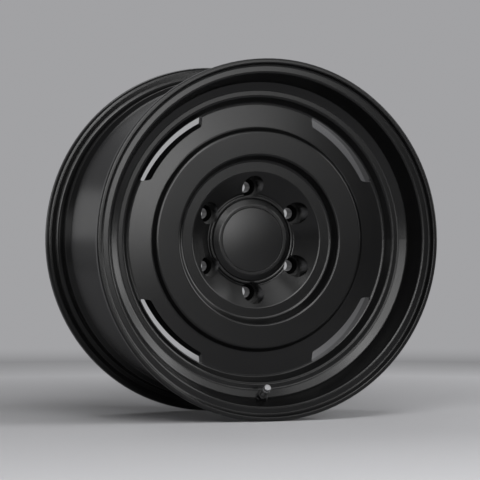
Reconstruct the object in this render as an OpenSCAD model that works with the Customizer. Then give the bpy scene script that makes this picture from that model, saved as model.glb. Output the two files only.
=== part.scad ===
// Cast light-alloy car wheel with a snap-in centre cap and a clamp-in tyre valve.
// Lengths are millimetres and angles are degrees. The axle runs along Y, the outboard face
// looks towards -Y, Z is up, and the origin is the wheel's centre. Turned profiles are lists
// of corners [radius, depth, fillet], where depth runs inboard from the outboard flange's tip.

/* [Rim] */
// Diameter of the bead seats
bead_d = 436.6; // [432:0.1:442]
// Width between the flanges
rim_w = 215.9; // [200:0.1:232]
// Height of a flange above its bead seat
flange_h = 17.3; // [16.5:0.1:19]
// Width of a flange outside the bead
flange_w = 12; // [11.8:0.1:13]
// Radius of the curl at the back of a flange
curl_r = 9.5; // [8:0.5:9.5]
// Radius between a bead seat and its flange
bead_fillet = 6.5; // [4:0.5:7]
// Width of a bead seat
seat_w = 21; // [19:0.5:23]
// Taper of a bead seat
seat_taper = 5; // [3:0.5:6]
// Height of the safety hump
hump_h = 1.4; // [0.8:0.1:2]
// Width of the safety hump
hump_w = 5; // [3.5:0.5:6]
// Depth of the well below the bead seat
well_h = 20.3; // [17.3:0.1:22]
// Width of the slope that drops into the well
drop_w = 13.7; // [11:0.1:16]
// Width of the well's floor
well_w = 49; // [35:1:60]
// Height of the long cone between the well and the inboard hump
barrel_rise = 13.5; // [8:0.5:15]
// Thickness of the barrel's wall
barrel_t = 6; // [4.5:0.5:8]

/* [Outboard lip] */
// Thickness of the flange's rounded tip
tip_t = 5.8; // [5:0.1:7]
// Depth of the lip behind the tip
lip_depth = 6.3; // [4:0.1:7]
// Slope between the tip and the lip
tip_slope = 2.6; // [1.5:0.1:3.5]
// Width of the lip
lip_w = 10.4; // [8:0.1:12]
// Fall of the lip towards its outer edge
lip_fall = 0.5; // [0:0.1:1]

/* [Face] */
// Width of the steep wall inside the lip
wall_run = 10.3; // [8:0.1:12]
// Depth of the crease at the foot of the steep wall
crease_depth = 34.3; // [31:0.1:36]
// Width of the shallow cone that the valve stands on
cone_w = 10.2; // [8.6:0.1:11]
// Depth of the flat ledge
ledge_depth = 40.3; // [38:0.1:43]
// Width of the flat ledge
ledge_w = 8.7; // [6:0.1:10]
// Width of the slope inside the ledge
step_run = 8; // [6:0.1:10]
// Depth of the outer band at its outer edge
band_depth = 51.6; // [50:0.1:55]
// Rise of the outer band from its outer to its inner edge
band_rise = 2.6; // [1:0.1:6]
// Width of the slope between the outer band and the raised ring
band_run = 4.5; // [4:0.1:6]
// Outer radius of the raised ring
raised_r = 142.4; // [138:0.1:146]
// Width of the raised ring
raised_w = 31.6; // [26:0.1:33]
// Depth of the flat raised ring
raised_depth = 41.8; // [37:0.1:43]
// Width of the slope inside the raised ring
raised_run = 5.8; // [4:0.1:7]
// Radius of the hub dish at its mouth
dish_r = 89.3; // [87:0.1:93]
// Depth of the flat ring round the hub dish
ring_depth = 55.1; // [52:0.1:58]
// Depth of the hub dish below that ring
dish_depth = 21.5; // [18:0.1:24]

/* [Slots] */
// Number of slots
slot_n = 4; // [3:1:5]
// Angle of the first slot
slot_at = 45; // [0:1:90]
// Width of a slot across the face
slot_w = 12.4; // [10:0.1:17]
// Half of the angle that a slot spans at its outer edge
slot_half = 19.8; // [12:0.1:24]
// How far each end leans in, as an angle about the axle
slot_lean = 2.6; // [0:0.1:4]
// Radius of a slot's inner corners
slot_corner = 7; // [3:0.5:8]
// Slope of a slot's inner side
slot_draft = 17; // [0:1:20]

/* [Hub] */
// Offset of the mounting face outboard of the wheel's centre plane
wheel_offset = 0; // [-6:1:6]
// Diameter of the centre bore
bore_d = 106.1; // [104:0.1:108]
// Radius of the mounting pad
pad_r = 87; // [85.5:0.5:89]
// Radius of the opening that the centre cap's skirt enters
cap_bore_r = 50; // [48.5:0.1:50.5]
// Length of that opening
cap_bore_h = 17; // [15.5:0.5:20]
// Width of the seat that the cap's rim rests on
cap_seat_w = 4.4; // [4:0.1:4.6]
// Width of the collar round the centre cap
collar_w = 3.7; // [2.5:0.1:4]
// Height of the collar above the foot of the dish
collar_h = 4; // [3:0.1:5]
// Rounding of the collar towards the cap
collar_round = 1.8; // [0.5:0.1:1.8]
// Depth of the cap's seat below the collar
cap_seat_h = 3.8; // [3:0.1:5]

/* [Lug holes] */
// Number of lug holes
lug_n = 6; // [5:1:6]
// Pitch circle diameter
lug_pcd = 139.7; // [139.7:0.1:141]
// Diameter of a lug hole
lug_d = 14.5; // [13:0.1:15.5]
// Length of a lug hole's straight wall
lug_h = 18.6; // [14:0.1:22]
// Radius of the cone seat's mouth
seat_r = 11.5; // [10:0.1:12.5]
// Full angle of the cone seat
seat_angle = 60; // [55:1:90]
// Radius of the socket pocket over a seat
socket_r = 14.5; // [13:0.1:14.8]

/* [Inboard side] */
// Depth of the disc's inboard surface
back_depth = 64; // [62:0.5:67]
// Number of pockets behind the raised ring
pocket_n = 12; // [8:2:12]
// Width of the ribs between those pockets
rib_w = 12; // [8:1:18]
// Thickness of metal left in front of those pockets
pocket_skin = 10; // [8:0.5:12]
// Depth of the pockets between the lug bosses
hub_pocket_h = 30; // [10:1:32]
// Width of the pockets between the lug bosses, across the pad
hub_pocket_w = 22; // [12:1:23]

/* [Centre cap] */
// Radius of the insert
insert_r = 42.2; // [38:0.1:44]
// Thickness of the insert at its edge
insert_t = 1.9; // [1.5:0.1:2.5]
// Height of the insert's dome
insert_dome = 1.3; // [0.5:0.1:2]
// Thickness of the cap's face
cap_face_t = 3; // [2:0.1:3.5]
// Fall of the cap's rounded rim towards its outer edge
cap_fall = 4.4; // [3:0.1:5]
// Thickness of the cap's skirt and fingers
skirt_t = 2.4; // [1.8:0.1:3]
// Length of the cap's fingers
finger_h = 11; // [8:0.5:12]
// Number of fingers
finger_n = 8; // [6:1:12]
// Width of the slots between the fingers
finger_gap = 9; // [5:0.5:12]
// Thickness of the spring wire ring
wire_d = 1.8; // [1.2:0.1:2]

/* [Valve] */
// Distance of the valve's seat from the crease where the cone begins, along the radius
valve_from_crease = 1.5; // [1.2:0.1:1.9]
// Diameter of the valve hole
valve_hole_d = 11.5; // [11:0.1:12]
// Thickness of the rim at the valve hole
valve_wall = 6; // [5:0.1:7]
// Radius of the flat round the valve's nut
valve_flat_r = 8.6; // [8.3:0.1:9]
// Radius of the stem's threaded shank
stem_r = 3.85; // [3.6:0.05:4]
// Height of the stem above its seat
stem_h = 24.4; // [22:0.1:28]
// Thickness of the stem's head and of the grommet under it
head_t = 3; // [2:0.1:4]
// Width of the nut across its flats
nut_af = 13; // [12:0.1:14]
// Height of the nut
nut_h = 6.5; // [5:0.1:8]
// Thickness of the washer
washer_t = 1.2; // [0.8:0.1:2]
// Radius of the stem's air passage
passage_r = 2.6; // [2.5:0.05:2.7]
// Outer radius of the valve cap
dust_cap_r = 4.9; // [4.7:0.1:5.4]
// Length of the valve cap
dust_cap_h = 9.8; // [8:0.1:12]
// Number of knurls round the valve cap
knurl_n = 14; // [12:1:24]
// Width of the groove round the middle of the knurls
knurl_groove_w = 1.2; // [0.8:0.1:2]
// Length of the core's threaded plug
plug_h = 4; // [3:0.1:5]
// Length of the core's barrel
barrel_h = 9; // [7:0.5:11]
// Length of the seal round the barrel
seal_h = 2.2; // [1.5:0.1:3]
// Travel of the core's pin
pin_travel = 1.2; // [0.8:0.1:1.5]

/* [Clearances] */
// Gap between the cap's rim and the collar
collar_gap = 0.5; // [0.2:0.1:0.6]
// Gap between the fingers and their opening
finger_fit = 0.1; // [0.05:0.05:0.3]
// Gap round the insert
insert_gap = 0.3; // [0.1:0.1:0.5]
// Gap round the valve's turned parts
turned_gap = 0.08; // [0.04:0.02:0.1]
// Gap between soft or loose parts and their neighbours
loose_gap = 0.1; // [0.05:0.05:0.2]

/* [Hidden] */

// How finely a fillet is drawn: the largest turn and the longest side
fillet_turn = 18;
fillet_side = 1.7;
// A sliver that lets a cut run clear through a face
over = 1;

total_w = rim_w + 2 * flange_w;
seat_end_r = bead_d / 2 - seat_w * tan(seat_taper);
tip_r = bead_d / 2 + flange_h;
hump_r = seat_end_r + hump_h;
well_r = bead_d / 2 - well_h;
hump_depth = flange_w + seat_w + 2;
drop_depth = hump_depth + hump_w;
well_depth = drop_depth + drop_w;
rear_hump_depth = total_w - hump_depth;
rear_drop_depth = total_w - drop_depth;
barrel_end_r = well_r + barrel_rise;
barrel_end_depth = rear_drop_depth - 4;
pad_depth = total_w / 2 - wheel_offset;

lip_outer_r = tip_r - tip_t - tip_slope;
lip_inner_r = lip_outer_r - lip_w;
crease_r = lip_inner_r - wall_run;
ledge_outer_r = crease_r - cone_w;
ledge_inner_r = ledge_outer_r - ledge_w;
band_outer_r = ledge_inner_r - step_run;
band_inner_r = raised_r + band_run;
band_inner_depth = band_depth - band_rise;
raised_inner_r = raised_r - raised_w;
ring_outer_r = raised_inner_r - raised_run;

slot_outer_r = band_outer_r - 0.6;
slot_inner_r = slot_outer_r - slot_w;

collar_inner_r = cap_bore_r + cap_seat_w;
collar_outer_r = collar_inner_r + collar_w;
dish_foot_depth = ring_depth + dish_depth;
collar_depth = dish_foot_depth - collar_h;
cap_seat_depth = collar_depth + cap_seat_h;
cap_bore_end = cap_seat_depth + cap_bore_h;
seat_h = (seat_r - lug_d / 2) / tan(seat_angle / 2);
seat_floor_depth = pad_depth - lug_h - seat_h;

cap_rim_r = collar_inner_r - collar_gap;
cap_front_depth = cap_seat_depth - cap_face_t - cap_fall;
insert_floor_depth = cap_front_depth + insert_t + 0.3;
skirt_r = cap_bore_r - 2 * finger_fit;
finger_r = cap_bore_r - finger_fit;
finger_root_depth = cap_seat_depth + 4.4;
finger_end_depth = finger_root_depth + finger_h;
wire_depth = finger_end_depth - 3;

valve_r = crease_r - valve_from_crease;
valve_depth = crease_depth + valve_from_crease * (ledge_depth - crease_depth) / cone_w;
valve_lean = 90 - atan2(ledge_depth - crease_depth, cone_w);
stem_thread_end = stem_h;
nut_top = washer_t + nut_h;
cap_top = stem_h + 2.1;
cap_wall_r = stem_r + turned_gap;
plug_r = passage_r - turned_gap;
core_top = stem_h - 1.2;
plug_low = core_top - plug_h;
neck_top = plug_low + 1.5;
neck_r = 1.35;
pin_bore_r = 0.75;
pin_r = pin_bore_r - turned_gap;
seal_top = plug_low - 0.5;
seal_low = seal_top - seal_h;
barrel_r = passage_r - 0.7;
barrel_low = plug_low - barrel_h;
chamber_r = barrel_r - 0.45;
chamber_top = seal_low - 0.5;
pin_collar_h = 0.4;
pin_collar_top = chamber_top - 0.15;
spring_wire_r = 0.16;
spring_low = barrel_low + 0.8;
spring_high = pin_collar_top - pin_collar_h;
spring_turns = 6;

// A corner's fillet as points on its arc, limited to what its two sides can hold
function corner_arc(a, b, c, radius) =
  let (u = (a - b) / norm(a - b),
       v = (c - b) / norm(c - b),
       half = acos(max(-1, min(1, u * v))) / 2,
       room = 0.49 * min(norm(a - b), norm(c - b)),
       r = min(radius, room * tan(half)),
       turn = 180 - 2 * half,
       centre = b + (u + v) / norm(u + v) * r / sin(half),
       from = b + u * r / tan(half) - centre,
       to = b + v * r / tan(half) - centre,
       steps = max(ceil(turn / fillet_turn), ceil(r * turn * PI / 180 / fillet_side), 1))
  turn < 1
    ? [b]
    : [for (i = [0:steps])
        centre + (from * sin(turn * (1 - i / steps)) + to * sin(turn * i / steps)) / sin(turn)];

// A closed outline from corners [x, y, fillet]
function rounded(corners) =
  let (n = len(corners), at = [for (k = corners) [k[0], k[1]]])
  [for (i = [0:n - 1])
    each corners[i][2] > 0
      ? corner_arc(at[(i + n - 1) % n], at[i], at[(i + 1) % n], corners[i][2])
      : [at[i]]];

// A solid of revolution about the axle, from corners [radius, depth, fillet]
module turned(corners, sides = 180) {
  translate([0, -total_w / 2, 0])
    rotate([-90, 0, 0])
      rotate_extrude($fn = sides) polygon(rounded(corners));
}

// Children drawn on the XY plane of a shaft that runs inboard from the depth given
module at_depth(depth) {
  translate([0, depth - total_w / 2, 0]) rotate([-90, 0, 0]) children();
}

// Children moved out to a radius and turned to an angle, from +X towards +Z
module at_angle(angle, radius = 0) {
  rotate([0, -angle, 0]) translate([radius, 0, 0]) children();
}

// Children in the valve's own frame: its seat at the origin and its stem along +Z
module at_valve() {
  translate([0, valve_depth - total_w / 2, -valve_r]) rotate([valve_lean, 0, 0]) children();
}

// Corners of the outboard face, from the flange's tip to the centre bore
function face_corners() = [
  [tip_r, 0, 2.2],
  [tip_r - tip_t, 0, 1.6],
  [lip_outer_r, lip_depth + lip_fall, 2.6],
  [lip_inner_r, lip_depth, 3.5],
  [crease_r, crease_depth, 3.5],
  [ledge_outer_r, ledge_depth, 5],
  [ledge_inner_r, ledge_depth, 4.2],
  [band_outer_r, band_depth, 4.5],
  [band_inner_r, band_inner_depth, 3],
  [raised_r, raised_depth, 4],
  [raised_inner_r, raised_depth, 3.6],
  [ring_outer_r, ring_depth, 4.2],
  [dish_r, ring_depth, 2.5],
  [collar_outer_r + 1.2, dish_foot_depth, 1.8],
  [collar_outer_r, collar_depth, 0.9],
  [collar_inner_r, collar_depth, collar_round],
  [collar_inner_r, cap_seat_depth, 0],
  [cap_bore_r, cap_seat_depth, 0.8],
  [cap_bore_r, cap_bore_end, 0],
  [bore_d / 2, cap_bore_end + bore_d / 2 - cap_bore_r, 0]
];

// Corners of the inboard side, from the centre bore to the inboard flange's tip
function back_corners() = [
  [bore_d / 2, pad_depth - 1.2, 0],
  [bore_d / 2 + 1.2, pad_depth, 0],
  [pad_r, pad_depth, 2],
  [pad_r + 9, back_depth, 14],
  [well_r - barrel_t - 0.4, back_depth, 15],
  [well_r - barrel_t - 0.4, well_depth + well_w, 14],
  [barrel_end_r - barrel_t - 0.4, barrel_end_depth, 8],
  [seat_end_r - barrel_t - 0.5, rear_hump_depth - 4, 6],
  [seat_end_r - barrel_t + 1.5, total_w - flange_w, 4],
  [tip_r - 20, total_w - lip_depth, 4],
  [lip_outer_r, total_w - lip_depth, 2],
  [tip_r - tip_t, total_w, 1.6],
  [tip_r, total_w, 2.2]
];

// Corners of the tyre side, from the inboard flange back to the outboard one
function tyre_corners() = [
  [tip_r, total_w - flange_w, curl_r],
  [bead_d / 2, total_w - flange_w, bead_fillet],
  [seat_end_r, total_w - flange_w - seat_w, 2],
  [hump_r, rear_hump_depth, 2],
  [hump_r, rear_hump_depth - 2, 3],
  [barrel_end_r, barrel_end_depth, 6],
  [well_r, well_depth + well_w, 16],
  [well_r, well_depth, 8],
  [hump_r - 1.5, drop_depth, 5],
  [hump_r, hump_depth, 2],
  [seat_end_r, flange_w + seat_w, 2],
  [bead_d / 2, flange_w, bead_fillet],
  [tip_r, flange_w, curl_r]
];

// Outline of a slot in the plane across the axle, centred on +X. Its corners are rounded on
// the unrolled face, [radius, distance round it], and its long sides follow circles.
function slot_outline() =
  let (around = slot_outer_r * PI / 180,
       half_out = slot_half * around,
       half_in = (slot_half - slot_lean) * around,
       side = slot_inner_r - 0.3,
       steps = 14,
       flat = rounded(concat(
         [[slot_outer_r, -half_out, 1.5]],
         [[slot_outer_r, half_out, 1.5]],
         [[side, half_in, slot_corner]],
         [[side, -half_in, slot_corner]])),
       n = len(flat))
  [for (i = [0:n - 1])
    let (here = flat[i],
         next = flat[(i + 1) % n],
         cuts = max(1, ceil(abs(next[1] - here[1]) / (2 * half_out / steps))))
    for (k = [0:cuts - 1])
      let (at = here + (next - here) * k / cuts)
      [at[0] * cos(at[1] / around), at[0] * sin(at[1] / around)]];

// One slot's cut: its outline along the axle, inside a ring whose inner side slopes
module slot_cut() {
  mouth_depth = band_depth - band_rise * (band_outer_r - slot_inner_r) / (band_outer_r - band_inner_r);
  far_depth = back_depth + 12;
  intersection() {
    at_depth(ledge_depth) linear_extrude(far_depth - ledge_depth) polygon(slot_outline());
    turned([
      [slot_inner_r - (mouth_depth - ledge_depth) * tan(slot_draft), ledge_depth, 0],
      [slot_outer_r + over, ledge_depth, 0],
      [slot_outer_r + over, far_depth, 0],
      [slot_inner_r + (far_depth - mouth_depth) * tan(slot_draft), far_depth, 0]
    ]);
  }
}

// One lug hole's cut: a straight wall, a cone seat, a narrow step and the socket pocket
module lug_cut() {
  at_depth(pad_depth - lug_h - over) cylinder(d = lug_d, h = lug_h + 2 * over, $fn = 48);
  at_depth(seat_floor_depth) cylinder(r1 = seat_r, r2 = lug_d / 2, h = seat_h, $fn = 48);
  at_depth(ring_depth) cylinder(r = socket_r, h = seat_floor_depth - ring_depth, $fn = 72);
}

// One pocket behind the raised ring, between two ribs
module rib_pocket() {
  inner = raised_inner_r + 1;
  outer = raised_r - 2;
  half_in = 180 / pocket_n - asin(rib_w / 2 / inner);
  half_out = 180 / pocket_n - asin(rib_w / 2 / outer);
  floor_depth = raised_depth + pocket_skin;
  at_depth(floor_depth)
    linear_extrude(back_depth - floor_depth + over)
      polygon(rounded([
        [inner * cos(half_in), -inner * sin(half_in), 5],
        [outer * cos(half_out), -outer * sin(half_out), 7],
        [outer / cos(half_out / 2), 0, 0],
        [outer * cos(half_out), outer * sin(half_out), 7],
        [inner * cos(half_in), inner * sin(half_in), 5]
      ]));
}

// One pocket between two lug bosses, open at the mounting pad
module hub_pocket() {
  mid = lug_pcd / 2 + 0.5;
  inner = mid - hub_pocket_w / 2;
  outer = mid + hub_pocket_w / 2;
  half_in = 180 / lug_n - asin((lug_d / 2 + 11.5) / inner);
  half_out = 180 / lug_n - asin((lug_d / 2 + 11.5) / outer);
  at_depth(pad_depth - hub_pocket_h)
    linear_extrude(hub_pocket_h + over)
      polygon(rounded([
        [inner * cos(half_in), -inner * sin(half_in), 3],
        [outer * cos(half_out), -outer * sin(half_out), 6],
        [outer * cos(half_out), outer * sin(half_out), 6],
        [inner * cos(half_in), inner * sin(half_in), 3]
      ]));
}

module wheel_casting() {
  color([0.13, 0.13, 0.135])
    difference() {
      turned(concat(face_corners(), back_corners(), tyre_corners()), 240);
      for (i = [0:slot_n - 1]) at_angle(slot_at + i * 360 / slot_n) slot_cut();
      for (i = [0:lug_n - 1]) at_angle(90 + i * 360 / lug_n, lug_pcd / 2) lug_cut();
      for (i = [0:pocket_n - 1]) at_angle((i + 0.5) * 360 / pocket_n) rib_pocket();
      for (i = [0:lug_n - 1]) at_angle(90 + (i + 0.5) * 360 / lug_n) hub_pocket();
      at_valve() {
        translate([0, 0, -valve_wall - over])
          cylinder(d = valve_hole_d, h = valve_wall + 2 * over, $fn = 48);
        cylinder(r = valve_flat_r, h = 14, $fn = 64);
        translate([0, 0, -valve_wall - 22]) cylinder(r = valve_flat_r, h = 22, $fn = 64);
      }
    }
}

module centre_cap() {
  color([0.16, 0.16, 0.165])
    difference() {
      turned([
        [0, insert_floor_depth, 0],
        [insert_r + insert_gap, insert_floor_depth, 0],
        [insert_r + insert_gap, cap_front_depth, 0.5],
        [insert_r + 4.4, cap_front_depth, 3],
        [cap_rim_r, cap_front_depth + cap_fall, 1.6],
        [cap_rim_r, cap_seat_depth, 0.3],
        [skirt_r, cap_seat_depth, 0],
        [skirt_r, wire_depth - 3, 0],
        [finger_r, wire_depth - 1.6, 0],
        [finger_r, wire_depth + 1.6, 0],
        [skirt_r - 0.6, finger_end_depth, 0],
        [skirt_r - skirt_t, finger_end_depth, 0.4],
        [skirt_r - skirt_t, cap_seat_depth + 1.4, 2],
        [insert_r - 3, insert_floor_depth + cap_face_t, 2],
        [0, insert_floor_depth + cap_face_t, 0]
      ], 144);
      at_depth(wire_depth)
        rotate_extrude($fn = 144)
          translate([skirt_r - skirt_t, 0]) circle(r = wire_d / 2 + loose_gap, $fn = 20);
      for (i = [0:finger_n - 1])
        at_angle((i + 0.5) * 360 / finger_n, skirt_r)
          at_depth(finger_root_depth)
            linear_extrude(finger_h + over)
              square([4 * skirt_t, finger_gap], center = true);
    }
}

module cap_insert() {
  color([0.2, 0.2, 0.205])
    turned([
      [0, insert_floor_depth, 0],
      [insert_r, insert_floor_depth, 0],
      [insert_r, insert_floor_depth - insert_t, 0.5],
      [insert_r * 0.82, insert_floor_depth - insert_t - insert_dome * 0.42, 60],
      [insert_r * 0.42, insert_floor_depth - insert_t - insert_dome * 0.9, 90],
      [0, insert_floor_depth - insert_t - insert_dome, 0]
    ], 144);
}

module cap_spring_ring() {
  color([0.6, 0.6, 0.62])
    at_depth(wire_depth)
      rotate([0, 0, 8])
        rotate_extrude(angle = 344, $fn = 144)
          translate([skirt_r - skirt_t, 0]) circle(d = wire_d, $fn = 16);
}

module valve_stem() {
  head_low = -valve_wall - 2 * head_t;
  color([0.5, 0.5, 0.5])
    at_valve()
      rotate_extrude($fn = 64)
        polygon(rounded([
          [passage_r, head_low, 0.3],
          [valve_flat_r - 0.8, head_low, 0.8],
          [valve_flat_r - 0.8, head_low + head_t, 0.4],
          [stem_r, head_low + head_t, 0],
          [stem_r, stem_h, 0.5],
          [passage_r, stem_h, 0.2]
        ]));
}

module valve_grommet() {
  neck_r = valve_hole_d / 2 - loose_gap;
  color([0.06, 0.06, 0.06])
    at_valve()
      rotate_extrude($fn = 64)
        polygon(rounded([
          [stem_r + loose_gap, -valve_wall - head_t, 0],
          [valve_flat_r - 0.5, -valve_wall - head_t, 0.6],
          [valve_flat_r - 0.5, -valve_wall, 0.6],
          [neck_r, -valve_wall, 0],
          [neck_r, -0.4, 0.3],
          [stem_r + loose_gap, -0.4, 0]
        ]));
}

module valve_washer() {
  color([0.45, 0.45, 0.45])
    at_valve()
      rotate_extrude($fn = 64)
        polygon(rounded([
          [stem_r + 0.25, 0, 0],
          [nut_af / 2 + 1.2, 0, 0.3],
          [nut_af / 2 + 1.2, washer_t, 0.3],
          [stem_r + 0.25, washer_t, 0]
        ]));
}

module valve_nut() {
  corner_r = nut_af / 2 / cos(30);
  color([0.22, 0.22, 0.22])
    at_valve()
      difference() {
        intersection() {
          translate([0, 0, washer_t]) cylinder(r = corner_r, h = nut_h, $fn = 6);
          translate([0, 0, washer_t])
            rotate_extrude($fn = 64)
              polygon([
                [0, 0],
                [corner_r + over, 0],
                [corner_r + over, nut_h - (corner_r + over - nut_af / 2 + 0.4) * tan(30)],
                [nut_af / 2 - 0.4, nut_h],
                [0, nut_h]
              ]);
        }
        cylinder(r = stem_r + turned_gap, h = nut_top + over, $fn = 48);
      }
}

// The core's threaded plug: it turns on the barrel's neck and ends in a flat blade
module core_plug() {
  color([0.78, 0.66, 0.36])
    at_valve()
      difference() {
        rotate_extrude($fn = 48)
          polygon([
            [neck_r + turned_gap, plug_low],
            [plug_r - 0.3, plug_low],
            [plug_r, plug_low + 0.3],
            [plug_r, core_top - 0.2],
            [plug_r - 0.2, core_top],
            [pin_bore_r, core_top],
            [pin_bore_r, neck_top + turned_gap],
            [neck_r + turned_gap, neck_top + turned_gap]
          ]);
        for (side = [-1, 1])
          translate([side * (1.3 + plug_r), 0, core_top])
            cube([2 * plug_r, 3 * plug_r, 2 * (core_top - neck_top - 0.7)], center = true);
      }
}

// The core's barrel: a neck, a groove for the seal and a chamber for the spring
module core_barrel() {
  color([0.8, 0.69, 0.4])
    at_valve()
      rotate_extrude($fn = 48)
        polygon([
          [pin_bore_r, neck_top],
          [neck_r, neck_top],
          [neck_r, plug_low - 0.1],
          [barrel_r, plug_low - 0.1],
          [barrel_r, seal_top],
          [neck_r, seal_top],
          [neck_r, seal_low],
          [barrel_r, seal_low],
          [barrel_r, barrel_low],
          [pin_bore_r, barrel_low],
          [pin_bore_r, spring_low],
          [chamber_r, spring_low],
          [chamber_r, chamber_top],
          [pin_bore_r, chamber_top]
        ]);
}

module core_seal() {
  color([0.75, 0.12, 0.1])
    at_valve()
      rotate_extrude($fn = 48)
        polygon(rounded([
          [neck_r, seal_low, 0],
          [barrel_r + 0.1, seal_low, 0],
          [passage_r - loose_gap, seal_top - 0.7, 0.3],
          [passage_r - loose_gap, seal_top, 0.2],
          [neck_r, seal_top, 0]
        ]));
}

// The pin, with a pressed collar that the spring pushes outwards
module core_pin() {
  color([0.8, 0.7, 0.42])
    at_valve()
      rotate_extrude($fn = 32)
        polygon([
          [0, barrel_low - 1.8],
          [pin_r, barrel_low - 1.8],
          [pin_r, spring_high],
          [chamber_r - 0.2, spring_high],
          [chamber_r - 0.2, pin_collar_top],
          [pin_r, pin_collar_top],
          [pin_r, stem_h - 0.6],
          [pin_r - 0.2, stem_h - 0.4],
          [0, stem_h - 0.4]
        ]);
}

module core_cup() {
  color([0.8, 0.69, 0.4])
    at_valve()
      rotate_extrude($fn = 48)
        polygon(rounded([
          [pin_r, barrel_low - 1.5, 0],
          [barrel_r, barrel_low - 1.5, 0.3],
          [barrel_r, barrel_low - 0.4, 0],
          [barrel_r - 0.25, barrel_low - 0.4, 0],
          [barrel_r - 0.25, barrel_low - 1.1, 0],
          [pin_r, barrel_low - 1.1, 0]
        ]));
}

module core_cup_seal() {
  color([0.1, 0.1, 0.1])
    at_valve()
      rotate_extrude($fn = 48)
        polygon([
          [pin_r, barrel_low - 1.1],
          [barrel_r - 0.25, barrel_low - 1.1],
          [barrel_r - 0.25, barrel_low - 0.05],
          [pin_r, barrel_low - 0.05]
        ]);
}

// A closed coil swept with a ring of points at each step along its helix
module core_spring() {
  mean_r = (pin_r + chamber_r) / 2;
  per_turn = 14;
  around = 6;
  rings = spring_turns * per_turn;
  pitch = (spring_high - spring_low - 2 * spring_wire_r) / spring_turns;
  points = [for (i = [0:rings], k = [0:around - 1])
    let (a = i * 360 / per_turn,
         b = k * 360 / around,
         r = mean_r + spring_wire_r * cos(b))
    [r * cos(a), r * sin(a), spring_low + spring_wire_r * (1 + sin(b)) + pitch * i / per_turn]];
  sides = [for (i = [0:rings - 1], k = [0:around - 1])
    let (n = (k + 1) % around)
    [i * around + k, i * around + n, (i + 1) * around + n, (i + 1) * around + k]];
  ends = [
    [for (k = [0:around - 1]) around - 1 - k],
    [for (k = [0:around - 1]) rings * around + k]
  ];
  color([0.7, 0.7, 0.72]) at_valve() polyhedron(points, concat(sides, ends), convexity = 8);
}

module valve_cap() {
  valley = 0.45;
  low = cap_top - dust_cap_h;
  middle = low + dust_cap_h / 2;
  groove_r = dust_cap_r - valley - 0.15;
  color([0.82, 0.82, 0.84])
    at_valve()
      difference() {
        intersection() {
          translate([0, 0, low])
            linear_extrude(dust_cap_h)
              polygon([for (i = [0:2 * knurl_n - 1])
                let (r = dust_cap_r - (i % 2) * valley, a = i * 180 / knurl_n)
                [r * cos(a), r * sin(a)]]);
          rotate_extrude($fn = 64)
            polygon(rounded([
              [0, low, 0],
              [dust_cap_r - 0.5, low, 0],
              [dust_cap_r + over, low + 1.5, 0],
              [dust_cap_r + over, middle - knurl_groove_w / 2 - 1, 0],
              [groove_r, middle - knurl_groove_w / 2, 0],
              [groove_r, middle + knurl_groove_w / 2, 0],
              [dust_cap_r + over, middle + knurl_groove_w / 2 + 1, 0],
              [dust_cap_r + over, cap_top - 1.8, 0],
              [dust_cap_r - 1.1, cap_top, 0.6],
              [0, cap_top, 0]
            ]));
        }
        translate([0, 0, low - over])
          cylinder(r = cap_wall_r, h = stem_h + 1 - low + over, $fn = 48);
      }
}

module valve_cap_seal() {
  color([0.7, 0.1, 0.08])
    at_valve()
      translate([0, 0, stem_h + 0.2])
        cylinder(r = stem_r - 0.05, h = 0.8 - loose_gap / 2, $fn = 40);
}

wheel_casting();
centre_cap();
cap_insert();
cap_spring_ring();
valve_stem();
valve_grommet();
valve_washer();
valve_nut();
core_plug();
core_barrel();
core_seal();
core_pin();
core_cup();
core_cup_seal();
core_spring();
valve_cap();
valve_cap_seal();
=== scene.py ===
"""The looks of a satin black cast car wheel with its centre cap and tyre valve."""

import math

import bmesh
import bpy
from mathutils import Matrix, Vector


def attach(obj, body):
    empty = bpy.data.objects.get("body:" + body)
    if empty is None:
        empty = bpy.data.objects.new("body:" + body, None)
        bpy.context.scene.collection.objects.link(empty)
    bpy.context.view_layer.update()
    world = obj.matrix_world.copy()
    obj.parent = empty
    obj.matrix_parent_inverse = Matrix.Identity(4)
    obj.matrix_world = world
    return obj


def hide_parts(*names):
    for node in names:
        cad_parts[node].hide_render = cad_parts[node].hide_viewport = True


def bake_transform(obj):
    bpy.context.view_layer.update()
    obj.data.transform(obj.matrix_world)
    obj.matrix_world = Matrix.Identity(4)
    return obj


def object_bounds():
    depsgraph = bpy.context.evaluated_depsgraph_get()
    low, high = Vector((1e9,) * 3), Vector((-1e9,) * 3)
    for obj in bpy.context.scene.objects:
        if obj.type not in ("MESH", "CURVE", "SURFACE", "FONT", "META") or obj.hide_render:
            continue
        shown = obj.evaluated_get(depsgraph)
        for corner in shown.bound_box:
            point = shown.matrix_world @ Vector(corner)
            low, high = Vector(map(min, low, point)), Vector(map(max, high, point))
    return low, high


MM = 0.001

# The camera, where the photograph was taken from, in the wheel's own frame
PHOTO_PX = 480
FOCAL_PX = 2785
SENSOR_MM = 36
CAMERA_AT = Vector((-1273.2, -3496.9, 18.1)) * MM
CAMERA_YAW = math.radians(20.017)
CAMERA_PITCH = math.radians(-0.288)
CAMERA_REACH = 100

# Coats: clouds and grains are so many cells to the metre, and a tone or gloss changes over the
# middle band of a cloud's values
COAT_SPECULAR = 0.33
TRACE_OF_BLUE = 1.03
MIDDLE_BAND = (0.3, 0.7)
TONE_CLOUDS = 14
GLOSS_CLOUDS = 20
POWDER_GLOSS_CLOUDS = 12
FINE_GRAIN = 900
FINE_RELIEF = 0.001 * MM
NICKEL_GRAIN = 1400
NICKEL_RELIEF = 0.002 * MM

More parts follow.
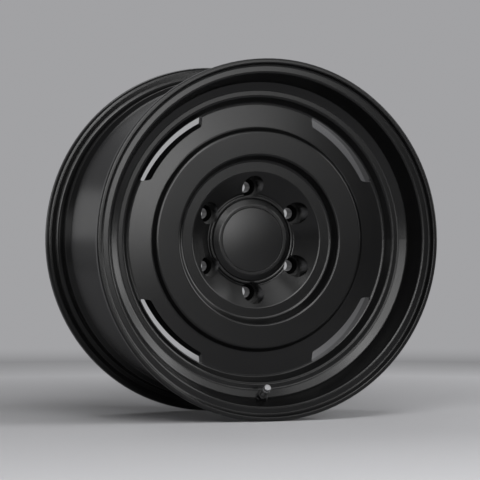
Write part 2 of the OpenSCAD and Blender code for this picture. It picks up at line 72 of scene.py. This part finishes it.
# The cast grain, on the faces at the disc's back that look inboard
CAST_GRAIN = 420
CAST_UNEVEN = 0.6
CAST_RELIEF = 0.03 * MM
FINE_SHARE = 0.03
CAST_TO_R = 176 * MM
CAST_FADE = 4 * MM
LOOKS_INBOARD = (0.25, 0.6)

# The valve's frame: its seat, and the way its stem points out of the rim
VALVE_SEAT = Vector((0, -84.768, -205)) * MM
VALVE_LEAN = math.atan2(10.2, 6)
AT_VALVE = Matrix.Translation(VALVE_SEAT) @ Matrix.Rotation(VALVE_LEAN, 4, "X")

# The thread on the valve's stem, measured from the seat
THREAD_FROM = 0.6 * MM
THREAD_TO = 23.6 * MM
THREAD_PITCH = 0.794 * MM
THREAD_CREST_R = 3.85 * MM
THREAD_ROOT_R = 3.4 * MM
THREAD_SUNK = 0.05 * MM
THREAD_FOOT = THREAD_PITCH * 0.44
THREAD_CREST = THREAD_PITCH * 0.07
THREAD_STEPS = 28

# The cap's insert, whose face is a dome
INSERT_R = 42.2 * MM
INSERT_EDGE = 1.9 * MM
INSERT_ROUND = 0.6 * MM
INSERT_DOME = 2.6 * MM
INSERT_STEPS = 144
ROUND_STEPS = 6
DOME_STEPS = 24

# Meshes: two distances in metres, and the angle under which an edge is smooth
MERGE_WITHIN = 2e-6
JUST_INSIDE = 1e-6
SMOOTH_UNDER = math.radians(28)

# The studio, with its distances in metres. The floor's own colour fades out and its glow fades
# in between two distances from the wheel's middle, and the glow changes from front to back
FLOOR_REACH = 40
FLOOR_TONE = 0.5
FLOOR_ROUGH = 0.8
FLOOR_FADE = (0.4, 2.2)
GLOW_TURN = (-0.4, 0.7)
GLOW_BEHIND = 0.36
GLOW_IN_FRONT = 0.14
LAMP_FROM_WHEEL = 3

# Each lamp's azimuth and elevation, the angles across and up that it fills, and its radiance
LAMPS = {
    "left_front_lamp": (-30, 21, 12, 42, 6.3),
    "high_front_lamp": (-12, 36, 24, 12, 8.2),
    "front_lamp": (0, 10, 24, 20, 6.9),
    "right_of_front_lamp": (18, 12.5, 12, 15, 3.3),
    "right_lamp": (60, 21, 24, 18, 5.6),
    "low_right_lamp": (78, 6, 36, 12, 4.7),
    "high_right_lamp": (75, 36, 20, 12, 6.6),
    "top_right_lamp": (50, 48, 34, 26, 1.3),
    "top_lamp": (0, 53, 45, 23, 2.3),
    "left_lamp": (-84, 6, 24, 12, 1),
    "left_back_lamp": (-144, 8, 24, 16, 0.7),
    "back_lamp": (180, 50, 60, 25, 1.6),
}

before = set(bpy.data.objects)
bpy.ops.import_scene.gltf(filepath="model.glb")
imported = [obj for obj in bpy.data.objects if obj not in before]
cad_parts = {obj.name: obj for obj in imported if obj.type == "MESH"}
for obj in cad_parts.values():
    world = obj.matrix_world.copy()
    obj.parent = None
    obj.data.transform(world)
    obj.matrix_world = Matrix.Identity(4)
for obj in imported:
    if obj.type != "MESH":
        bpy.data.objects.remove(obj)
cad_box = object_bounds()
floor_z = cad_box[0][2]


# Materials

def new_material(name):
    """An empty node material with a Principled shader, and its tree and shader."""
    material = bpy.data.materials.new(name)
    material.use_nodes = True
    shader = material.node_tree.nodes["Principled BSDF"]
    return material, material.node_tree, shader


def noise(tree, scale, detail, roughness=0.5):
    """A noise in object space, so many cells to the metre."""
    where = tree.nodes.new("ShaderNodeTexCoord")
    cloud = tree.nodes.new("ShaderNodeTexNoise")
    cloud.inputs["Scale"].default_value = scale
    cloud.inputs["Detail"].default_value = detail
    cloud.inputs["Roughness"].default_value = roughness
    tree.links.new(where.outputs["Object"], cloud.inputs["Vector"])
    return cloud.outputs["Fac"]


def spread(tree, value, from_range, to_range, course="LINEAR"):
    """A value carried from one range over to another, and held at its ends."""
    span = tree.nodes.new("ShaderNodeMapRange")
    span.interpolation_type = course
    span.inputs["From Min"].default_value = from_range[0]
    span.inputs["From Max"].default_value = from_range[1]
    span.inputs["To Min"].default_value = to_range[0]
    span.inputs["To Max"].default_value = to_range[1]
    tree.links.new(value, span.inputs["Value"])
    return span.outputs["Result"]


def tint(tree, value, dark, light):
    """A value from 0 to 1 turned into a colour between two."""
    ramp = tree.nodes.new("ShaderNodeValToRGB")
    ramp.color_ramp.elements[0].position = MIDDLE_BAND[0]
    ramp.color_ramp.elements[1].position = MIDDLE_BAND[1]
    ramp.color_ramp.elements[0].color = (*dark, 1)
    ramp.color_ramp.elements[1].color = (*light, 1)
    tree.links.new(value, ramp.inputs["Fac"])
    return ramp.outputs["Color"]


def math_node(tree, operation, first, second):
    """Two values put together, where each is a socket or a number."""
    step = tree.nodes.new("ShaderNodeMath")
    step.operation = operation
    for socket, value in zip(step.inputs, (first, second)):
        if isinstance(value, (int, float)):
            socket.default_value = value
        else:
            tree.links.new(value, socket)
    return step.outputs["Value"]


def vector_node(tree, operation, vector):
    """One step on a vector."""
    step = tree.nodes.new("ShaderNodeVectorMath")
    step.operation = operation
    tree.links.new(vector, step.inputs[0])
    return step


def along_y(tree, vector):
    """How far a vector points along the axle."""
    parts = tree.nodes.new("ShaderNodeSeparateXYZ")
    tree.links.new(vector, parts.inputs["Vector"])
    return parts.outputs["Y"]


def back_of_disc(tree):
    """One on the faces of the disc that look inboard, and nothing on the rim and the turned face."""
    where = tree.nodes.new("ShaderNodeTexCoord")
    off_axle = vector_node(tree, "MULTIPLY", where.outputs["Object"])
    off_axle.inputs[1].default_value = (1, 0, 1)
    radius = vector_node(tree, "LENGTH", off_axle.outputs["Vector"]).outputs["Value"]
    on_disc = spread(tree, radius, (CAST_TO_R, CAST_TO_R - CAST_FADE), (0, 1))
    inboard = spread(tree, along_y(tree, where.outputs["Normal"]), LOOKS_INBOARD, (0, 1))
    return math_node(tree, "MULTIPLY", inboard, on_disc)


def drift(tree, scale, rough):
    """A gloss that drifts between two roughnesses."""
    return spread(tree, noise(tree, scale, detail=2), MIDDLE_BAND, rough)


def grain(tree, shader, height, depth):
    """A fine relief of the given depth in metres."""
    bump = tree.nodes.new("ShaderNodeBump")
    bump.inputs["Strength"].default_value = 1
    bump.inputs["Distance"].default_value = depth
    tree.links.new(height, bump.inputs["Height"])
    tree.links.new(bump.outputs["Normal"], shader.inputs["Normal"])


def finish_material(name, dark, light, rough, metallic=0.0, cells=FINE_GRAIN, depth=FINE_RELIEF):
    """A coated or moulded finish: its tone and gloss drift a little, over a fine grain."""
    material, tree, shader = new_material(name)
    shader.inputs["Specular IOR Level"].default_value = COAT_SPECULAR
    clouds = noise(tree, TONE_CLOUDS, detail=4)
    tree.links.new(tint(tree, clouds, dark, light), shader.inputs["Base Color"])
    tree.links.new(drift(tree, GLOSS_CLOUDS, rough), shader.inputs["Roughness"])
    shader.inputs["Metallic"].default_value = metallic
    grain(tree, shader, noise(tree, cells, detail=2), depth)
    return material


def powder_coat_material(name, dark, light, rough):
    """A thin satin coat over the casting: cast grain at the disc's back, and smooth elsewhere."""
    material, tree, shader = new_material(name)
    shader.inputs["Specular IOR Level"].default_value = COAT_SPECULAR
    clouds = noise(tree, TONE_CLOUDS, detail=3)
    tree.links.new(tint(tree, clouds, dark, light), shader.inputs["Base Color"])
    tree.links.new(drift(tree, POWDER_GLOSS_CLOUDS, rough), shader.inputs["Roughness"])
    fine = math_node(tree, "MULTIPLY", noise(tree, FINE_GRAIN, detail=2), FINE_SHARE)
    cast_grain = noise(tree, CAST_GRAIN, detail=4, roughness=CAST_UNEVEN)
    cast = math_node(tree, "MULTIPLY", cast_grain, back_of_disc(tree))
    grain(tree, shader, math_node(tree, "ADD", fine, cast), CAST_RELIEF)
    return material


def grey(value):
    """A grey with a trace of blue."""
    return (value, value, value * TRACE_OF_BLUE)


powder_coat = powder_coat_material("satin_powder_coat", grey(0.0028), grey(0.0032), (0.23, 0.25))
cap_paint = finish_material("cap_satin_paint", grey(0.0035), grey(0.004), (0.26, 0.28))
insert_paint = finish_material("insert_satin_paint", grey(0.005), grey(0.0055), (0.28, 0.3))
valve_black = finish_material("valve_black_plating", grey(0.012), grey(0.018), (0.28, 0.34), 0.6)
nickel = finish_material(
    "nickel_plate", grey(0.26), grey(0.32), (0.38, 0.46), 1.0, NICKEL_GRAIN, NICKEL_RELIEF
)
brass = finish_material("turned_brass", (0.55, 0.38, 0.15), (0.66, 0.48, 0.2), (0.28, 0.4), 1.0)
spring_steel = finish_material("spring_steel", grey(0.4), grey(0.5), (0.25, 0.35), 1.0)
black_rubber = finish_material("black_rubber", grey(0.012), grey(0.02), (0.6, 0.75))
red_rubber = finish_material("red_rubber", (0.3, 0.02, 0.015), (0.4, 0.03, 0.02), (0.5, 0.65))

# Each solid's finish, also of the three that a piece stands in for further down
FINISHES = {
    "wheel_casting": powder_coat,
    "centre_cap": cap_paint,
    "cap_insert": insert_paint,
    "cap_spring_ring": spring_steel,
    "valve_stem": valve_black,
    "valve_grommet": black_rubber,
    "valve_washer": valve_black,
    "valve_nut": valve_black,
    "valve_cap": nickel,
    "valve_cap_seal": red_rubber,
    "core_plug": brass,
    "core_barrel": brass,
    "core_seal": red_rubber,
    "core_pin": brass,
    "core_cup": brass,
    "core_cup_seal": black_rubber,
    "core_spring": spring_steel,
}
for node, finish in FINISHES.items():
    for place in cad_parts[node].material_slots:
        place.material = finish


# Pieces made here, each in the place of a solid

def finish_piece(form, name, node, material):
    """A new piece that stands in for a solid, shaded smooth apart from its sharp edges."""
    bmesh.ops.recalc_face_normals(form, faces=form.faces)
    for face in form.faces:
        face.smooth = True
    for edge in form.edges:
        edge.smooth = edge.calc_face_angle(math.pi) < SMOOTH_UNDER
    mesh = bpy.data.meshes.new(name)
    form.to_mesh(mesh)
    form.free()
    mesh.materials.append(material)
    piece = bpy.data.objects.new(name, mesh)
    bpy.context.scene.collection.objects.link(piece)
    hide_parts(node)
    return piece


def in_valve_frame(node):
    """A solid's mesh, merged and moved so that the valve's axis is Z and its seat is at 0."""
    form = bmesh.new()
    form.from_mesh(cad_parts[node].data)
    bmesh.ops.remove_doubles(form, verts=form.verts, dist=MERGE_WITHIN)
    bmesh.ops.transform(form, matrix=AT_VALVE.inverted(), verts=form.verts)
    return form


def turn_down_to_root(form):
    """Takes the stem down to the thread's root between the thread's two ends, over short cones."""
    cone = THREAD_CREST_R - THREAD_ROOT_R
    for height in (THREAD_FROM, THREAD_FROM + cone, THREAD_TO - cone, THREAD_TO):
        stem = list(form.verts) + list(form.edges) + list(form.faces)
        bmesh.ops.bisect_plane(form, geom=stem, plane_co=(0, 0, height), plane_no=(0, 0, 1))
    for vert in form.verts:
        radius = math.hypot(vert.co.x, vert.co.y)
        threaded = THREAD_FROM + JUST_INSIDE < vert.co.z < THREAD_TO - JUST_INSIDE
        if threaded and radius > THREAD_ROOT_R:
            vert.co.x *= THREAD_ROOT_R / radius
            vert.co.y *= THREAD_ROOT_R / radius


def wind_ridge(form):
    """Winds the thread's ridge round the stem, its foot sunk a little below the root."""
    cone = THREAD_CREST_R - THREAD_ROOT_R
    sunk = THREAD_ROOT_R - THREAD_SUNK
    start = THREAD_FROM + cone
    section = [
        (sunk, -THREAD_FOOT),
        (THREAD_CREST_R, -THREAD_CREST),
        (THREAD_CREST_R, THREAD_CREST),
        (sunk, THREAD_FOOT),
    ]
    corners = [form.verts.new((out, 0, start + THREAD_FOOT + up)) for out, up in section]
    first = form.faces.new(corners)
    turns = int((THREAD_TO - cone - start - 2 * THREAD_FOOT) / THREAD_PITCH)
    bmesh.ops.spin(
        form,
        geom=[first] + list(first.edges),
        cent=(0, 0, 0),
        axis=(0, 0, 1),
        dvec=(0, 0, THREAD_PITCH / THREAD_STEPS),
        angle=math.tau * turns,
        steps=THREAD_STEPS * turns,
        use_merge=False,
    )


def threaded_stem():
    """The valve's stem with its thread."""
    form = in_valve_frame("valve_stem")
    turn_down_to_root(form)
    wind_ridge(form)
    bmesh.ops.transform(form, matrix=AT_VALVE, verts=form.verts)
    stem = finish_piece(form, "valve_stem_threaded", "valve_stem", valve_black)
    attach(stem, "wheel")


def insert_outline():
    """Half a section of the insert, as distances off the axle and along it."""
    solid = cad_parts["cap_insert"]
    back = max((solid.matrix_world @ vert.co).y for vert in solid.data.vertices)
    front = back - INSERT_EDGE
    flat_r = INSERT_R - INSERT_ROUND
    dome_r = (flat_r * flat_r + INSERT_DOME * INSERT_DOME) / (2 * INSERT_DOME)
    outline = [(0, back), (INSERT_R, back)]
    for step in range(ROUND_STEPS + 1):
        turn = math.pi / 2 * step / ROUND_STEPS
        out = flat_r + INSERT_ROUND * math.cos(turn)
        outline.append((out, front + INSERT_ROUND * (1 - math.sin(turn))))
    for step in range(1, DOME_STEPS + 1):
        out = flat_r * (1 - step / DOME_STEPS)
        outline.append((out, front - INSERT_DOME + dome_r - math.sqrt(dome_r * dome_r - out * out)))
    return outline


def domed_insert():
    """The cap's insert with a fuller dome than its solid has."""
    form = bmesh.new()
    points = [form.verts.new((out, along, 0)) for out, along in insert_outline()]
    edges = [form.edges.new(pair) for pair in zip(points, points[1:])]
    bmesh.ops.spin(
        form,
        geom=points + edges,
        cent=(0, 0, 0),
        axis=(0, 1, 0),
        dvec=(0, 0, 0),
        angle=math.tau,
        steps=INSERT_STEPS,
        use_merge=True,
    )
    bmesh.ops.remove_doubles(form, verts=form.verts, dist=MERGE_WITHIN)
    insert = finish_piece(form, "cap_insert_domed", "cap_insert", insert_paint)
    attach(insert, "cap")


def shortening_spring():
    """The core's spring as a piece of its own, merged and shaded smooth."""
    form = in_valve_frame("core_spring")
    bmesh.ops.transform(form, matrix=AT_VALVE, verts=form.verts)
    spring = finish_piece(form, "core_spring_coil", "core_spring", spring_steel)
    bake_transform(spring)


threaded_stem()
domed_insert()
shortening_spring()


# Studio

def soft_lamp(name, azimuth, elevation, across, up, radiance):
    """A soft lamp aimed at the wheel. Azimuth 0 is in front of its face, and positive to the right."""
    turn = math.radians(azimuth)
    rise = math.radians(elevation)
    flat = LAMP_FROM_WHEEL * math.cos(rise)
    at = Vector((flat * math.sin(turn), -flat * math.cos(turn), LAMP_FROM_WHEEL * math.sin(rise)))
    light = bpy.data.lights.new(name, "AREA")
    light.shape = "RECTANGLE"
    light.size = 2 * flat * math.tan(math.radians(across / 2))
    light.size_y = 2 * LAMP_FROM_WHEEL * math.tan(math.radians(up / 2))
    light.energy = radiance * light.size * light.size_y * math.pi
    lamp = bpy.data.objects.new(name, light)
    lamp.visible_camera = False
    lamp.location = at
    lamp.rotation_euler = (-at).to_track_quat("-Z", "Y").to_euler()
    bpy.context.scene.collection.objects.link(lamp)


def seen_directly(tree):
    """One for the rays that show the background: straight, mirrored and through glass."""
    ray = tree.nodes.new("ShaderNodeLightPath")
    seen = math_node(tree, "MAXIMUM", ray.outputs["Is Camera Ray"], ray.outputs["Is Glossy Ray"])
    return math_node(tree, "MAXIMUM", seen, ray.outputs["Is Transmission Ray"])


def backdrop_glow(tree):
    """How pale the background is in each direction: palest behind the wheel."""
    where = tree.nodes.new("ShaderNodeTexCoord")
    direction = vector_node(tree, "NORMALIZE", where.outputs["Object"]).outputs["Vector"]
    levels = (GLOW_IN_FRONT, GLOW_BEHIND)
    glow = spread(tree, along_y(tree, direction), GLOW_TURN, levels, "SMOOTHSTEP")
    return math_node(tree, "MULTIPLY", glow, seen_directly(tree))


def floor_paper():
    """Plain pale paper that fades into the background away from the wheel."""
    paper, tree, shader = new_material("pale_paper")
    where = tree.nodes.new("ShaderNodeTexCoord")
    away = vector_node(tree, "LENGTH", where.outputs["Object"]).outputs["Value"]
    fade = spread(tree, away, FLOOR_FADE, (0, 1), "SMOOTHSTEP")
    paper_colour = tint(tree, fade, grey(FLOOR_TONE), grey(0))
    tree.links.new(paper_colour, shader.inputs["Base Color"])
    shader.inputs["Roughness"].default_value = FLOOR_ROUGH
    shader.inputs["Specular IOR Level"].default_value = 0
    shader.inputs["Emission Color"].default_value = (*grey(1), 1)
    glow = math_node(tree, "MULTIPLY", fade, backdrop_glow(tree))
    tree.links.new(glow, shader.inputs["Emission Strength"])
    return paper


def studio_floor():
    """A wide plain floor that the wheel stands on."""
    form = bmesh.new()
    bmesh.ops.create_grid(form, x_segments=1, y_segments=1, size=FLOOR_REACH)
    bmesh.ops.translate(form, verts=form.verts, vec=(0, 0, floor_z))
    mesh = bpy.data.meshes.new("studio_floor")
    form.to_mesh(mesh)
    form.free()
    mesh.materials.append(floor_paper())
    floor = bpy.data.objects.new("studio_floor", mesh)
    bpy.context.scene.collection.objects.link(floor)


def studio_world():
    """A background that is seen and mirrored but lights nothing."""
    world = bpy.data.worlds.new("studio")
    world.use_nodes = True
    background = world.node_tree.nodes["Background"]
    background.inputs["Color"].default_value = (*grey(1), 1)
    world.node_tree.links.new(backdrop_glow(world.node_tree), background.inputs["Strength"])
    bpy.context.scene.world = world


studio_floor()
studio_world()
for lamp_name, setting in LAMPS.items():
    soft_lamp(lamp_name, *setting)

camera = bpy.data.objects.new("camera", bpy.data.cameras.new("camera"))
camera.data.sensor_width = SENSOR_MM
camera.data.lens = FOCAL_PX * SENSOR_MM / PHOTO_PX
camera.data.clip_end = CAMERA_REACH
camera.location = CAMERA_AT
camera.rotation_euler = (math.pi / 2 + CAMERA_PITCH, 0, -CAMERA_YAW)
bpy.context.scene.collection.objects.link(camera)
bpy.context.scene.camera = camera
bpy.context.scene.view_settings.view_transform = "Standard"
